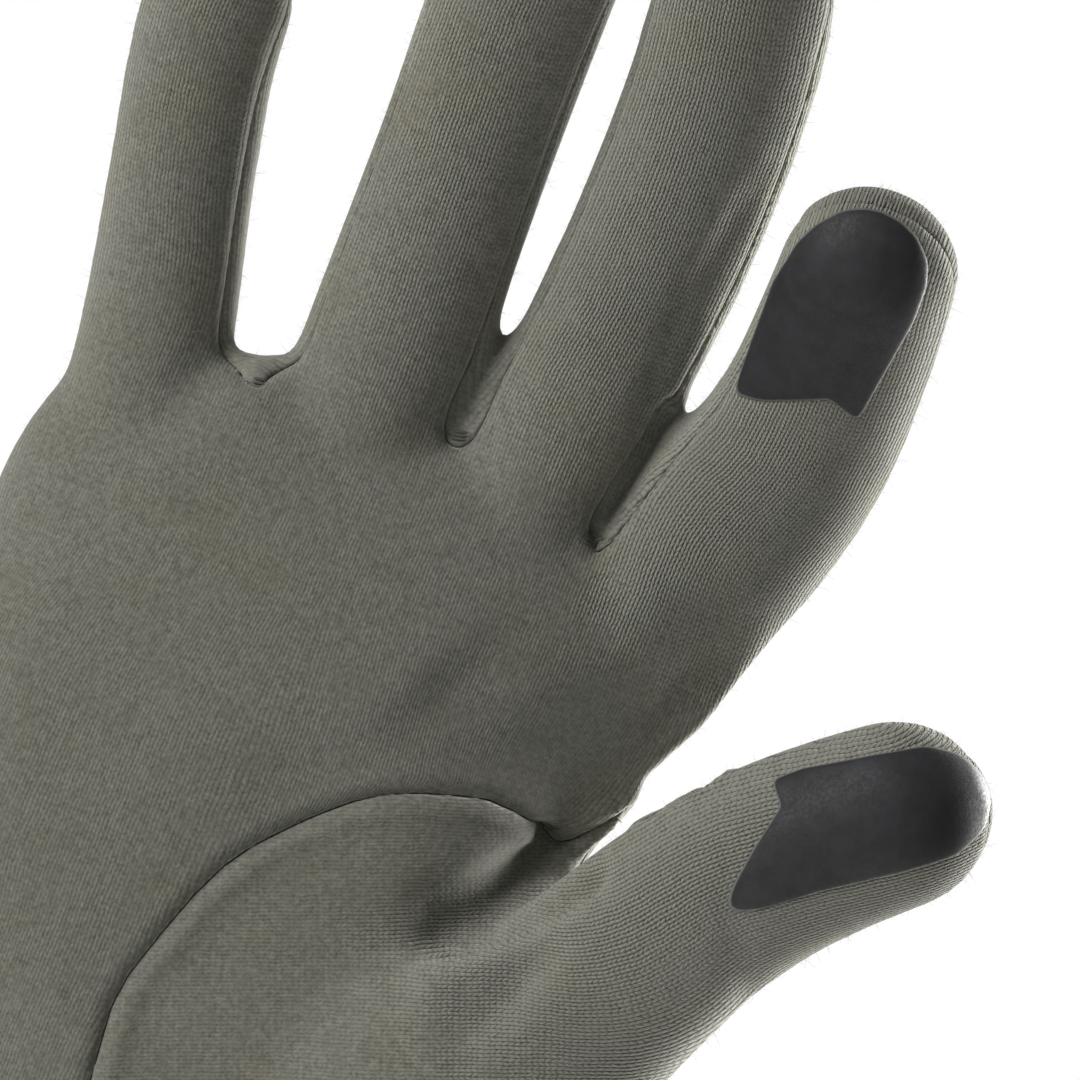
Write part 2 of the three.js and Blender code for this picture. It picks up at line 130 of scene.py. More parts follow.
digits = {
    "index": {"root": (0.689, 0, 0.834), "length": 83.0, "breadth": 25.6, "depth": 22.5, "across": (1, 0, 0),
              "segments": [(0.25, 4, 11), (0.27, 20, 15), (0.25, 40, 1), (0.23, 50, -9)]},
    "middle": {"root": (0.282, 0, 0.860), "length": 100.0, "breadth": 22.4, "depth": 22.0, "across": (1, 0, 0),
               "segments": [(0.22, 2, 4), (0.31, 13, 5), (0.25, 29, -1), (0.22, 39, -10)]},
    "ring": {"root": (-0.184, 0, 0.854), "length": 96.5, "breadth": 21.9, "depth": 21.0, "across": (1, 0, 0),
             "segments": [(0.24, 2, 1), (0.31, 12, -1), (0.24, 27, -1), (0.21, 37, 2)]},
    "little": {"root": (-0.7, 0, 0.815), "length": 81.5, "breadth": 19.0, "depth": 19.0, "across": (1, 0, 0),
               "segments": [(0.3, 2, -6), (0.29, 12, -11.5), (0.21, 25, -9), (0.2, 35, 1)]},
    "thumb": {"root": (0.264, -0.1, 0.293), "length": 122.0, "breadth": 42.0, "depth": 30.0,
              "across": (0.75, 0.1, -0.66),
              "segments": [(0.25, 11, 27), (0.26, 12, 29.5), (0.24, 23, 28), (0.25, 22, 45)]},
}
fingers = ["index", "middle", "ring", "little"]


def smoothCurve(knots, count=240):
    pts = np.vstack([2 * knots[0] - knots[1], knots, 2 * knots[-1] - knots[-2]])
    out = []
    for i in range(1, len(pts) - 2):
        p0, p1, p2, p3 = pts[i - 1], pts[i], pts[i + 1], pts[i + 2]
        d0, d1, d2 = [math.sqrt(max(np.linalg.norm(b - a), 1e-6)) for a, b in ((p0, p1), (p1, p2), (p2, p3))]
        t1 = ((p1 - p0) / d0 - (p2 - p0) / (d0 + d1) + (p2 - p1) / d1) * d1
        t2 = ((p2 - p1) / d1 - (p3 - p1) / (d1 + d2) + (p3 - p2) / d2) * d1
        t = np.linspace(0, 1, count // (len(knots) - 1), endpoint=False)[:, None]
        h = (2 * t**3 - 3 * t**2 + 1) * p1 + (t**3 - 2 * t**2 + t) * t1
        out.append(h + (-2 * t**3 + 3 * t**2) * p2 + (t**3 - t**2) * t2)
    out = np.vstack(out + [knots[-1:]])
    run = np.concatenate([[0], np.cumsum(np.linalg.norm(np.diff(out, axis=0), axis=1))])
    even = np.linspace(0, run[-1], count + 1)
    return np.column_stack([np.interp(even, run, out[:, k]) for k in range(3)])


for name, digit in digits.items():
    a, b, c = digit["root"]
    knots = [np.array([a * palm["breadth"] / 2, b * palm["depth"], c * palm["length"]])]
    for share, bend, leanOut in digit["segments"]:
        bend, leanOut = math.radians(bend), math.radians(leanOut)
        step = np.array([math.cos(bend) * math.sin(leanOut), -math.sin(bend), math.cos(bend) * math.cos(leanOut)])
        knots.append(knots[-1] + step * share * digit["length"])
    line = smoothCurve(np.array(knots))
    along = unit(np.gradient(line, axis=0))
    ref = np.array(digit["across"], dtype=float)
    across = unit(ref - along * (along @ ref)[:, None])
    digit.update(line=line, along=along, acrossLine=across, backLine=unit(np.cross(along, across)))
    digit["shares"] = np.linspace(0, 1, len(line))


def tableAt(table, column, share):
    return np.interp(share, table["at"], table[column])


def crownDrop(x):
    drop = palm["webDrop"] * (1 - np.exp(-np.where(x < 3, 0.0006, 0.0022) * (x - 3) ** 2))
    return drop - palm["ringWebRise"] * np.exp(-(((x + 22) / 8) ** 2))


def digitAt(digit, share):
    held = np.clip(share, 0, 1)
    got = [np.column_stack([np.interp(held, digit["shares"], digit[key][:, k]) for k in range(3)])
           for key in ("line", "along", "acrossLine", "backLine")]
    got[0] = got[0] + got[1] * ((share - held) * digit["length"])[:, None]
    return got


def sphereParts(segments, rings):
    bpy.ops.mesh.primitive_uv_sphere_add(segments=segments, ring_count=rings, radius=1)
    ball = bpy.context.object
    co = np.empty(len(ball.data.vertices) * 3)
    ball.data.vertices.foreach_get("co", co)
    co = co.reshape(-1, 3)
    row = np.round(np.arccos(np.clip(-co[:, 2], -1, 1)) / math.pi * rings)
    angle = np.arctan2(co[:, 1], co[:, 0])
    return ball, row, angle


# roundEnd is the length of the rounded fingertip as a share of its breadth.
digitForm = {"segments": 48, "rings": 64, "capRows": 14, "roundEnd": 0.52}


def roundingStart(name):
    tip = digits[name]["breadth"] * fingerTaper[name]["breadth"][-1]
    return 1 - digitForm["roundEnd"] * tip / digits[name]["length"]


def makeDigitBody(name):
    digit = digits[name]
    ball, row, angle = sphereParts(digitForm["segments"], digitForm["rings"])
    start = roundingStart(name)
    shaft = digitForm["rings"] - digitForm["capRows"]
    cap = np.clip((row - shaft) / digitForm["capRows"], 0, 1)
    share = np.where(row <= shaft, np.clip(row - 1, 0, None) / (shaft - 1) * start,
                     start + (1 - start) * np.sin(cap * math.pi / 2))
    rounding = np.where(row == 0, 0, np.cos(cap * math.pi / 2))
    centre, along, across, back = digitAt(digit, share)
    halfBreadth = tableAt(fingerTaper[name], "breadth", share) * digit["breadth"] / 2
    halfDepth = tableAt(fingerTaper[name], "depth", share) * digit["depth"] / 2
    points = centre + across * (halfBreadth * rounding * np.cos(angle))[:, None]
    points = points + back * (halfDepth * rounding * np.sin(angle))[:, None]
    writePoints(ball, points)
    return ball


# square rounds the palm's section less than an ellipse does, and below is how far it runs on past the wrist.
palmForm = {"segments": 96, "rings": 80, "square": 0.86, "below": 6.0}


def palmSides(share):
    little = np.interp(share, palm["height"], palm["little"]) * palm["breadth"] / 2
    thumb = np.interp(share, palm["height"], palm["thumb"]) * palm["breadth"] / 2
    deep = np.interp(share, palm["height"], palm["thick"]) * palm["depth"] / 2
    return little, thumb, deep


def makePalmBody():
    rings = palmForm["rings"]
    ball, row, angle = sphereParts(palmForm["segments"], rings)
    even = np.clip(row - 1, 0, rings - 2) / (rings - 2)
    share = np.where(even < 0.8, even * 1.1, 0.88 + 0.12 * np.sin((even - 0.8) / 0.2 * math.pi / 2))
    radius = np.where((row == 0) | (row == rings), 0, 1)
    little, thumb, deep = palmSides(share)
    co, si = np.cos(angle), np.sin(angle)
    wide = np.sign(co) * np.abs(co) ** palmForm["square"] * radius
    x = (little + thumb) / 2 + (thumb - little) / 2 * wide
    y = deep * np.sign(si) * np.abs(si) ** palmForm["square"] * radius
    rise = smoothStep(share, 0.8, 1)
    z = share * palm["length"] - crownDrop(x) * rise
    z = np.where(row <= 1, -palmForm["below"], z)
    writePoints(ball, np.column_stack([x, y, z]))
    return ball


def fuseBodies():
    bodies = [makePalmBody()] + [makeDigitBody(name) for name in digits]
    bpy.ops.object.select_all(action="DESELECT")
    for body in bodies:
        body.select_set(True)
    bpy.context.view_layer.objects.active = bodies[0]
    bpy.ops.object.join()
    whole = bpy.context.object
    whole.name = "gloveForm"
    remesh = whole.modifiers.new("fuse", "REMESH")
    remesh.mode = "VOXEL"
    remesh.voxel_size = form["voxel"] * mm
    applyModifier(whole, "fuse")
    return whole


form = {"voxel": 0.82, "wall": 1.2, "hemWall": 2.4, "hemHeight": 18.0}
glove = fuseBodies()
print("glove form fused:", len(glove.data.vertices), "points")


# Where a point lies on a digit: share of the length, offsets across (a) and towards the back (b), and distance
# from the centre line in half sizes (ratio).
def digitSpot(name, points):
    digit = digits[name]
    line = digit["line"][::2]
    near = np.empty(len(points), dtype=int)
    for start in range(0, len(points), 20000):
        part = points[start:start + 20000]
        near[start:start + 20000] = np.argmin((line**2).sum(1)[None] - 2 * part @ line.T, axis=1)
    share = near * 2 / (len(digit["line"]) - 1)
    for _ in range(2):
        centre, along, across, back = digitAt(digit, share)
        share = np.clip(share + ((points - centre) * along).sum(1) / digit["length"], 0, 1.1)
    centre, along, across, back = digitAt(digit, share)
    offset = points - centre
    a, b = (offset * across).sum(1), (offset * back).sum(1)
    halfBreadth = tableAt(fingerTaper[name], "breadth", share) * digit["breadth"] / 2
    halfDepth = tableAt(fingerTaper[name], "depth", share) * digit["depth"] / 2
    return {"share": share, "a": a, "b": b, "halfBreadth": halfBreadth, "halfDepth": halfDepth,
            "ratio": np.hypot(a / halfBreadth, b / halfDepth)}


# Distance to a line of x, z points, and how far along it, from 0 to 1.
def polylineDistance(x, z, line):
    line = np.array(line, dtype=float)
    best = np.full(len(x), 1e9)
    where = np.zeros(len(x))
    runs = np.concatenate([[0], np.cumsum(np.linalg.norm(np.diff(line, axis=0), axis=1))])
    for i in range(len(line) - 1):
        d = line[i + 1] - line[i]
        t = np.clip(((x - line[i, 0]) * d[0] + (z - line[i, 1]) * d[1]) / (d @ d), 0, 1)
        far = np.hypot(x - line[i, 0] - t * d[0], z - line[i, 1] - t * d[1])
        closer = far < best
        best = np.where(closer, far, best)
        where = np.where(closer, (runs[i] + t * (runs[i + 1] - runs[i])) / runs[-1], where)
    return best, where


# Distance to a closed outline, positive inside it.
def insideOutline(x, z, outline):
    outline = np.array(outline, dtype=float)
    far, _ = polylineDistance(x, z, np.vstack([outline, outline[:1]]))
    inside = np.zeros(len(x), dtype=bool)
    for p, q in zip(outline, np.roll(outline, -1, axis=0)):
        crosses = (p[1] > z) != (q[1] > z)
        edge = (q[0] - p[0]) * (z - p[1]) / np.where(q[1] == p[1], 1e-9, q[1] - p[1]) + p[0]
        inside ^= crosses & (x < edge)
    return np.where(inside, far, -far)


# Seam lines on the palm side as x, z points.
gussetSeam = [(33, 31), (14, 37), (1, 48.5), (-6, 60), (-8, 72), (-9, 81), (-8.5, 85), (-6.7, 91), (-4.9, 96.3),
              (-3.1, 100.4), (-0.7, 104.1), (2.8, 108.1), (5.3, 110.7), (8.2, 113.3), (11.2, 115.4), (15.6, 117.3),
              (19.5, 118.5), (23.1, 119.3), (26.6, 119), (30, 118.2), (32, 117)]
thumbOutline = [(58, 28)] + gussetSeam + [(34, 117.5), (38, 122), (42, 127), (56, 146), (74, 163), (95, 163),
                                          (95, 100)]
strips = {"fourchette_index_middle": ("index", "middle", [(25.2, 168), (23.8, 159), (22.4, 151.6)]),
          "fourchette_middle_ring": ("middle", "ring", [(3.0, 167), (3.3, 162), (3.4, 157.5)]),
          "fourchette_ring_little": ("ring", "little", [(-22.2, 162), (-22.3, 157.5), (-20.9, 153.3)])}
rootSpread = {"fourchette_index_middle": 1.9, "fourchette_middle_ring": 1.2, "fourchette_ring_little": 3.4}
crotchRun = {"index": 21.0, "middle": 22.0, "ring": 22.0, "little": 25.0}
# Half width of the side strips at their roots and ends, the share of a finger where they run out, how far below
# the crotch they start, how far the thumb's seam moves back on its web side, and a value for well outside.
seamLay = {"rootHalf": 4.6, "endHalf": 1.6, "stripEnd": 0.985, "belowCrotch": 9, "thumbBack": 5, "outside": -50.0}


# Signed distances to the seams: towards the back, into each side strip, into the thumb piece.
def seamFields(points):
    x, y, z = points.T
    spots = {name: digitSpot(name, points) for name in digits}
    ratios = np.array([spots[name]["ratio"] for name in fingers])
    owner = np.argmin(ratios, axis=0)
    back = np.choose(owner, [spots[name]["b"] for name in fingers])
    towardsBack = lerp(y, back, smoothStep(z, 136, 150))
    thumb = spots["thumb"]
    onThumb = smoothStep(thumb["ratio"], 1.3, 1.05) * smoothStep(thumb["share"], 0.02, 0.3)
    webSide = smoothStep(thumb["a"], 2, -4) * smoothStep(x, 44, 38) * smoothStep(y, 0, -6)
    onThumb = onThumb * (1 - webSide)
    thumbBack = thumb["b"] - seamLay["thumbBack"] * smoothStep(thumb["a"], 0, -6)
    towardsBack = lerp(towardsBack, thumbBack, np.where(z < 150, onThumb, 0))
    intoStrip = {}
    for strip, (first, second, base) in strips.items():
        value = np.full(len(points), seamLay["outside"])
        far, _ = polylineDistance(x, z, base)
        for name, side in ((first, -1), (second, 1)):
            spot = spots[name]
            run = spot["share"] * digits[name]["length"]
            half = lerp(seamLay["rootHalf"], seamLay["endHalf"], np.clip((spot["share"] - 0.25) / 0.72, 0, 1))
            half = half * smoothStep(spot["share"], seamLay["stripEnd"], 0.84)
            half = half + rootSpread[strip] * np.exp(-((far / 2.4) ** 2)) * smoothStep(z, 168, 160)
            inside = np.minimum(half - np.abs(towardsBack), (side * spot["a"] / spot["halfBreadth"] - 0.3) * 8)
            inside = np.minimum(inside, run - (crotchRun[name] - seamLay["belowCrotch"]))
            inside = np.minimum(inside, seamLay["stripEnd"] * digits[name]["length"] - run)
            value = np.where(owner == fingers.index(name), inside, value)
        intoStrip[strip] = np.where(z > 138, value, seamLay["outside"])
    intoThumb = insideOutline(x, z, thumbOutline)
    return {"spots": spots, "owner": owner, "back": towardsBack, "strips": intoStrip, "thumb": intoThumb}


pieces = ["palm_panel", "back_panel", "thumb_piece"] + list(strips) + ["cuff_hem", "below"]


def labelOf(points, fields):
    label = np.zeros(len(points), dtype=int)
    label[fields["thumb"] > 0] = 2
    label[fields["back"] > 0] = 1
    for k, strip in enumerate(strips):
        label[fields["strips"][strip] > 0] = 3 + k
    label[points[:, 2] < form["hemHeight"]] = 6
    label[points[:, 2] < 0] = 7
    return label


# The fused form is relaxed, then the folds of the worn cloth are laid into it.
def meshArrays(obj):
    edges = np.empty(len(obj.data.edges) * 2, dtype=np.int64)
    obj.data.edges.foreach_get("vertices", edges)
    corners = np.empty(len(obj.data.loops), dtype=np.int64)
    obj.data.loops.foreach_get("vertex_index", corners)
    return edges.reshape(-1, 2), corners.reshape(-1, 4)


def neighbourMean(points, edges):
    count = np.maximum(np.bincount(edges.ravel(), minlength=len(points)), 1)
    total = np.column_stack([
        np.bincount(edges[:, 0], points[edges[:, 1], k], len(points))
        + np.bincount(edges[:, 1], points[edges[:, 0], k], len(points)) for k in range(points.shape[1])])
    return total / count[:, None]


def relax(points, edges, weight, rounds):
    for _ in range(rounds):
        points = points + (neighbourMean(points, edges) - points) * weight[:, None]
    return points


def faceCross(points, quads):
    return np.cross(points[quads[:, 2]] - points[quads[:, 0]], points[quads[:, 3]] - points[quads[:, 1]])


def faceNormals(points, quads):
    return unit(faceCross(points, quads))


def pointNormals(points, quads):
    n = faceCross(points, quads)
    total = np.zeros_like(points)
    for k in range(4):
        for c in range(3):
            total[:, c] += np.bincount(quads[:, k], n[:, c], len(points))
    return unit(total)


edges, quads = meshArrays(glove)
points = readPoints(glove)
ratios = np.array([np.abs(digitSpot(name, points)["ratio"] - 1) for name in digits])
ratios.sort(axis=0)
joint = smoothStep(ratios[1], 0.45, 0.1) * smoothStep(points[:, 2], 40, 60)
thumbNow = digitSpot("thumb", points)
crease = smoothStep(thumbNow["ratio"], 1.5, 1.15) * smoothStep(thumbNow["share"], 0.75, 0.55)
web = np.exp(-((points[:, 0] - 37) ** 2 + (points[:, 2] - 118) ** 2) / 11**2)
between = smoothStep(points[:, 2], 148, 158)
soft = np.clip(0.1 + joint * lerp(0.5, 0.2, between) + crease * 0.6, 0, 0.6) * (1 - 0.8 * web)
points = relax(points, edges, np.full(len(points), 0.5), 5)
points = relax(points, edges, soft, 60)

# Folds and swellings: a line of x, z points on the palm side, its half width, and how far it goes in (negative)
# or stands out, both fading at its ends.
folds = [
    {"line": [(36.5, 120.5), (35, 117.6), (32.8, 114.2), (29.5, 110.5), (25.5, 105.5), (20, 100)], "width": 3.2,
     "height": -5.8},
    {"line": [(39, 117.5), (37.4, 115.2), (33.9, 110.8), (31.3, 107), (27.8, 101.7), (22, 94)], "width": 2.1,
     "height": 1.9},
    {"line": [(36, 110), (34, 105), (32.5, 99), (28, 90)], "width": 2.6, "height": -1.6},
    {"line": [(10, 132), (22, 126), (36, 126)], "width": 9.0, "height": -1.6},
    {"line": [(0, 122), (4, 108), (-2, 92), (-10, 74)], "width": 9.0, "height": -1.4},
    {"line": [(-30, 140), (-8, 144), (14, 143), (34, 138)], "width": 5.0, "height": -0.8},
    {"line": [(24.9, 200), (23.8, 189), (22.4, 181), (22.7, 172), (23, 164)], "width": 1.1, "height": -0.8},
    {"line": [(-38, 128), (-34, 104), (-30, 84)], "width": 8.0, "height": 1.2},
    {"line": [(33, 148), (42, 150), (49, 153)], "width": 1.5, "height": -0.6},
    {"line": [(32, 170), (41, 172), (53, 171)], "width": 1.7, "height": -0.6},
    {"line": [(5, 178), (15, 180), (27, 178)], "width": 1.7, "height": -0.4},
    {"line": [(-18, 176), (-9, 178), (1, 176)], "width": 1.7, "height": -0.4},
    {"line": [(50, 124), (56, 114), (62, 106)], "width": 1.6, "height": -0.6},
]
# Narrow gap pressed straight back from the palm side between index and middle finger.
gaps = [
    {"line": [(25.4, 170), (24.6, 164), (23.4, 157.5), (22.4, 151.5)], "width": 0.9, "height": 4.5},
]
normals = pointNormals(points, quads)
for fold in folds:
    far, along = polylineDistance(points[:, 0], points[:, 2], fold["line"])
    ends = smoothStep(along, 0, 0.18) * smoothStep(along, 1, 0.82)
    ends = ends * smoothStep(-normals[:, 1], 0.0, 0.45)
    shift = fold["height"] * np.exp(-((far / fold["width"]) ** 2)) * ends
    points = points + normals * shift[:, None]
for gap in gaps:
    far, along = polylineDistance(points[:, 0], points[:, 2], gap["line"])
    ends = smoothStep(along, 1, 0.7) * smoothStep(-normals[:, 1], -0.1, 0.3) * (points[:, 1] < 2)
    points[:, 1] += gap["height"] * np.exp(-((far / gap["width"]) ** 2)) * ends
# The thumb side of the palm falls away towards the web, and the thumb itself stays as it is.
slopeAway = {"line": [(37, 104), (39, 122), (43, 138), (50, 154)], "width": 10.0, "back": 7.0}
far, along = polylineDistance(points[:, 0], points[:, 2], slopeAway["line"])
offThumb = smoothStep(thumbNow["ratio"], 1.1, 1.5)
fade = smoothStep(along, 0, 0.25) * smoothStep(along, 1, 0.7) * smoothStep(points[:, 1], -1, -12) * offThumb
points[:, 1] += slopeAway["back"] * np.exp(-((far / slopeAway["width"]) ** 2)) * fade
# Small pushes sideways that even out the edge of the web: x, z, how far in x and z, radius.
for x, z, pushX, pushZ, radius in [(41.6, 130.6, -1.2, 0.4, 4.2), (38.0, 125.0, 1.2, -0.4, 3.6)]:
    near = np.exp(-((points[:, 0] - x) ** 2 + (points[:, 2] - z) ** 2) / radius**2) * offThumb
    points += near[:, None] * [pushX, 0, pushZ]
points = relax(points, edges, np.full(len(points), 0.35), 2)
print("folds laid")

# Seams: points on a border between panels are moved onto the exact seam line.
fields = seamFields(points[quads].mean(axis=1))
label = labelOf(points[quads].mean(axis=1), fields)
edgeKey = np.sort(np.stack([quads, np.roll(quads, -1, axis=1)], axis=2).reshape(-1, 2), axis=1)
order = np.lexsort((edgeKey[:, 1], edgeKey[:, 0]))
pairs = np.repeat(np.arange(len(quads)), 4)[order].reshape(-1, 2)
for _ in range(6):
    same = label[pairs[:, 0]] == label[pairs[:, 1]]
    differing = np.bincount(pairs[~same].ravel(), minlength=len(quads))
    lone = np.where(differing >= 3)[0]
    if len(lone) == 0:
        break
    for face in lone:
        rows = np.where((pairs == face).any(axis=1))[0]
        around = [label[a] if b == face else label[b] for a, b in pairs[rows]]
        label[face] = np.bincount(around).argmax()
seen = np.zeros((len(points), len(pieces)), dtype=bool)
for k in range(4):
    seen[quads[:, k], label] = True
border = seen.sum(axis=1) > 1


def borderField(points, seen):
    got = seamFields(points)
    value = np.where(seen[:, 1], got["back"], got["thumb"])
    for k, strip in enumerate(strips):
        value = np.where(seen[:, 3 + k], got["strips"][strip], value)
    value = np.where(seen[:, 6], points[:, 2] - form["hemHeight"], value)
    return np.where(seen[:, 7], points[:, 2], value)


seamMove = {"step": 0.25, "farthest": 1.3, "rounds": 4, "leastSlope": 0.09}
rows = np.where(border)[0]
seamEdges = edgeKey[order].reshape(-1, 2, 2)[:, 0][label[pairs[:, 0]] != label[pairs[:, 1]]]
for turn in range(seamMove["rounds"]):
    normals = pointNormals(points, quads)[rows]
    at = points[rows]
    value = borderField(at, seen[rows])
    slope = np.zeros_like(at)
    for k in range(3):
        step = np.zeros(3)
        step[k] = seamMove["step"]
        rising = borderField(at + step, seen[rows]) - borderField(at - step, seen[rows])
        slope[:, k] = rising / (2 * seamMove["step"])
    slope = slope - normals * (slope * normals).sum(1)[:, None]
    size = np.maximum((slope**2).sum(1), seamMove["leastSlope"])
    move = -slope * (value / size)[:, None]
    far = np.linalg.norm(move, axis=1)
    move = move * np.minimum(1, seamMove["farthest"] / np.maximum(far, 1e-6))[:, None]
    points[rows] = at + move
    if turn < seamMove["rounds"] - 1:
        spread = neighbourMean(points, seamEdges)
        points[rows] = lerp(points[rows], spread[rows], 0.5)
    free = np.where(border, 0.0, 0.5)
    points = relax(points, edges, free, 2)
print("seams placed:", len(rows), "border points")

# The cloth dips into each seam and stands up a little beside it. The first value is for the thumb's seam, the second
# for the others, and the dips fade by the last share between the two distances from a digit's end.
groove = {"depth": (0.85, 0.6), "width": (0.85, 0.75), "lip": (0.45, 0.15), "lipAt": 1.9, "lipWidth": 1.0,
          "tipFade": (24, 12), "tipShare": 0.6}
tree = KDTree(len(rows))
for k, row in enumerate(rows):
    tree.insert(points[row], k)
tree.balance()
seamFar = np.full(len(points), 99.0)
nearest = np.zeros(len(points), dtype=int)
for k in range(len(points)):
    _, hit, far = tree.find(points[k])
    seamFar[k], nearest[k] = far, rows[hit]
normals = pointNormals(points, quads)
isGusset = seen[nearest, 0] & seen[nearest, 2]
tips = [digits[name]["line"][-1] for name in digits]
tipNear = smoothStep(np.linalg.norm(points[:, None] - tips, axis=2).min(1), *groove["tipFade"])
depth = np.where(isGusset, *groove["depth"]) * (1 - groove["tipShare"] * tipNear)
width = np.where(isGusset, *groove["width"])
shift = -depth * np.exp(-((seamFar / width) ** 2))
intoThumb = insideOutline(points[:, 0], points[:, 2], thumbOutline) > 0
lip = np.where(isGusset & intoThumb, *groove["lip"])
lip = lip * np.exp(-(((seamFar - groove["lipAt"]) / groove["lipWidth"]) ** 2))
points = points + normals * (shift + lip)[:, None]
points = relax(points, edges, np.where(border, 0.0, 0.2), 2)
writePoints(glove, points)
print("seam grooves laid")

# Part the form into its panels.
formTree = BVHTree.FromPolygons([Vector(p) for p in points], [list(map(int, q)) for q in quads])
glove.data.materials.clear()
for name in pieces:
    glove.data.materials.append(bpy.data.materials.new(name))
glove.data.polygons.foreach_set("material_index", label.astype(np.int32))
activate(glove)
bpy.ops.object.mode_set(mode="EDIT")
bpy.ops.mesh.select_all(action="SELECT")
bpy.ops.mesh.separate(type="MATERIAL")
bpy.ops.object.mode_set(mode="OBJECT")
panels = {}
for obj in list(bpy.context.selected_objects) + [glove]:
    slots = np.empty(len(obj.data.polygons), dtype=np.int32)
    obj.data.polygons.foreach_get("material_index", slots)
    panels[obj.data.materials[int(slots[0])].name.split(".")[0]] = obj
activate(panels.pop("below"))
bpy.ops.object.delete()
for name, obj in panels.items():
    obj.name = "knit_" + name
    obj.data.materials.clear()
print("panels:", {name: len(obj.data.polygons) for name, obj in panels.items()})


# The run of the stitches: u across the wales, v along them. side is -1 on the palm, 1 on the back. wrap 1 keeps
# them even round a finger, and 0 keeps them even as seen from the palm side. Between the heights of flatFrom the
# run round the palm becomes a flat one.
stitchLay = {"wrap": 0.12, "thumbFrom": 0.5, "thumbTo": 0.76, "thumbGirth": 12.6, "thumbTilt": 8,
             "leastDeep": 9, "unsquare": 1.16, "flatFrom": (112, 138)}


def halfArc(turn, halfWide, halfDeep):
    total = 0
    for k in range(24):
        t = turn * (k + 0.5) / 24
        total = total + np.hypot(halfWide * np.cos(t), halfDeep * np.sin(t)) * turn / 24
    return total


def palmRun(at, side):
    x, y, z = at.T
    little, thumb, deep = palmSides(np.clip(z / palm["length"], 0, 1))
    deep = np.maximum(deep, stitchLay["leastDeep"])
    mid, half = (little + thumb) / 2, (thumb - little) / 2
    wide, depth = np.clip((x - mid) / half, -1.3, 1.3), side * y / deep
    power = stitchLay["unsquare"]
    turn = np.arctan2(np.sign(wide) * np.abs(wide) ** power, np.sign(depth) * np.abs(depth) ** power)
    return lerp(mid + halfArc(turn, half, deep), x, smoothStep(z, *stitchLay["flatFrom"])), z


def digitRun(name, spot, side, girth):
    digit = digits[name]
    tip = digit["breadth"] * fingerTaper[name]["breadth"][-1]
    start = roundingStart(name)
    turn = np.arctan2(spot["a"] / spot["halfBreadth"], side * spot["b"] / spot["halfDepth"])
    straight = np.arcsin(np.clip(spot["a"] / (tip / 2), -1, 1))
    turn = lerp(turn, straight, smoothStep(spot["share"], start - 0.02, start + 0.05))
    beyond = np.clip((spot["share"] - start) / (1 - start), 0, 1)
    along = np.minimum(spot["share"], start) + (1 - start) * np.arcsin(beyond)
    return lerp(spot["a"], girth * turn, stitchLay["wrap"]), along * digit["length"], turn


def blendRun(base, added, weight, anchor):
    if not anchor.any():
        return base
    shift = [np.median(b[anchor] - a[anchor]) for b, a in zip(base, added)]
    return [lerp(b, a + d, weight) for b, a, d in zip(base, added, shift)]


def stitchRun(name, at):
    got = seamFields(at)
    spots, owner = got["spots"], got["owner"]
    side = 1 if name == "back_panel" else -1
    if name.startswith("fourchette"):
        return got["back"], at[:, 2]
    if name == "thumb_piece":
        wale = np.array([0.927, 0.375])
        flat = [at[:, 0] * wale[1] - at[:, 2] * wale[0], at[:, 0] * wale[0] + at[:, 2] * wale[1]]
        u, v, turn = digitRun("thumb", spots["thumb"], side, stitchLay["thumbGirth"])
        tilt = math.radians(stitchLay["thumbTilt"])
        tube = [u * math.cos(tilt) - v * math.sin(tilt), v * math.cos(tilt) + u * math.sin(tilt)]
        share = spots["thumb"]["share"]
        anchor = (np.abs(share - 0.62) < 0.04) & (np.abs(turn) < 0.7)
        return blendRun(flat, tube, smoothStep(share, stitchLay["thumbFrom"], stitchLay["thumbTo"]), anchor)
    run = list(palmRun(at, side))
    if name == "cuff_hem":
        return run
    if name == "back_panel":
        thumb = spots["thumb"]
        weight = smoothStep(thumb["ratio"], 1.5, 1.15) * smoothStep(at[:, 0], 30, 40) * (at[:, 2] < 150)
        anchor = (np.abs(at[:, 0] - 35) < 2) & (np.abs(at[:, 2] - 100) < 12)
        run = blendRun(run, [at[:, 0], at[:, 2]], weight, anchor)
    for k, finger in enumerate(fingers):
        spot = spots[finger]
        reach = spot["share"] * digits[finger]["length"]
        girth = (digits[finger]["breadth"] + 0.88 * digits[finger]["depth"]) / 4
        u, v, turn = digitRun(finger, spot, side, girth)
        here = owner == k
        weight = np.where(here, smoothStep(reach, crotchRun[finger] - 3, crotchRun[finger] + 24), 0)
        anchor = here & (np.abs(reach - crotchRun[finger] - 7) < 3) & (np.abs(turn) < 0.6)
        run = blendRun(run, [u, v], weight, anchor)
    return run


# How clearly the stitches show: most on index finger and thumb, least in the hollow of the palm.
clearness = {"palm": 0.34, "index": (3, 34, 3.2), "middle": (14, 50, 1.5), "ring": (14, 60, 1.0),
             "little": (25, 60, 0.6), "thumb": (40, 84, 3.0)}


def giveClearness(obj, at):
    clear = np.full(len(at), clearness["palm"])
    got = seamFields(at)
    for name in digits:
        low, high, most = clearness[name]
        spot = got["spots"][name]
        others = [got["spots"][other]["ratio"] for other in fingers if other != name]
        here = smoothStep(spot["ratio"], 1.5, 1.1) if name == "thumb" else \
            smoothStep(np.min(others, axis=0) - spot["ratio"], -0.05, 0.6)
        reach = spot["share"] * digits[name]["length"]
        clear = np.maximum(clear, lerp(clearness["palm"], most, smoothStep(reach, low, high) * here))
    layer = obj.data.attributes.new(name="clearness", type="FLOAT", domain="POINT")
    layer.data.foreach_set("value", clear.astype(np.float32))


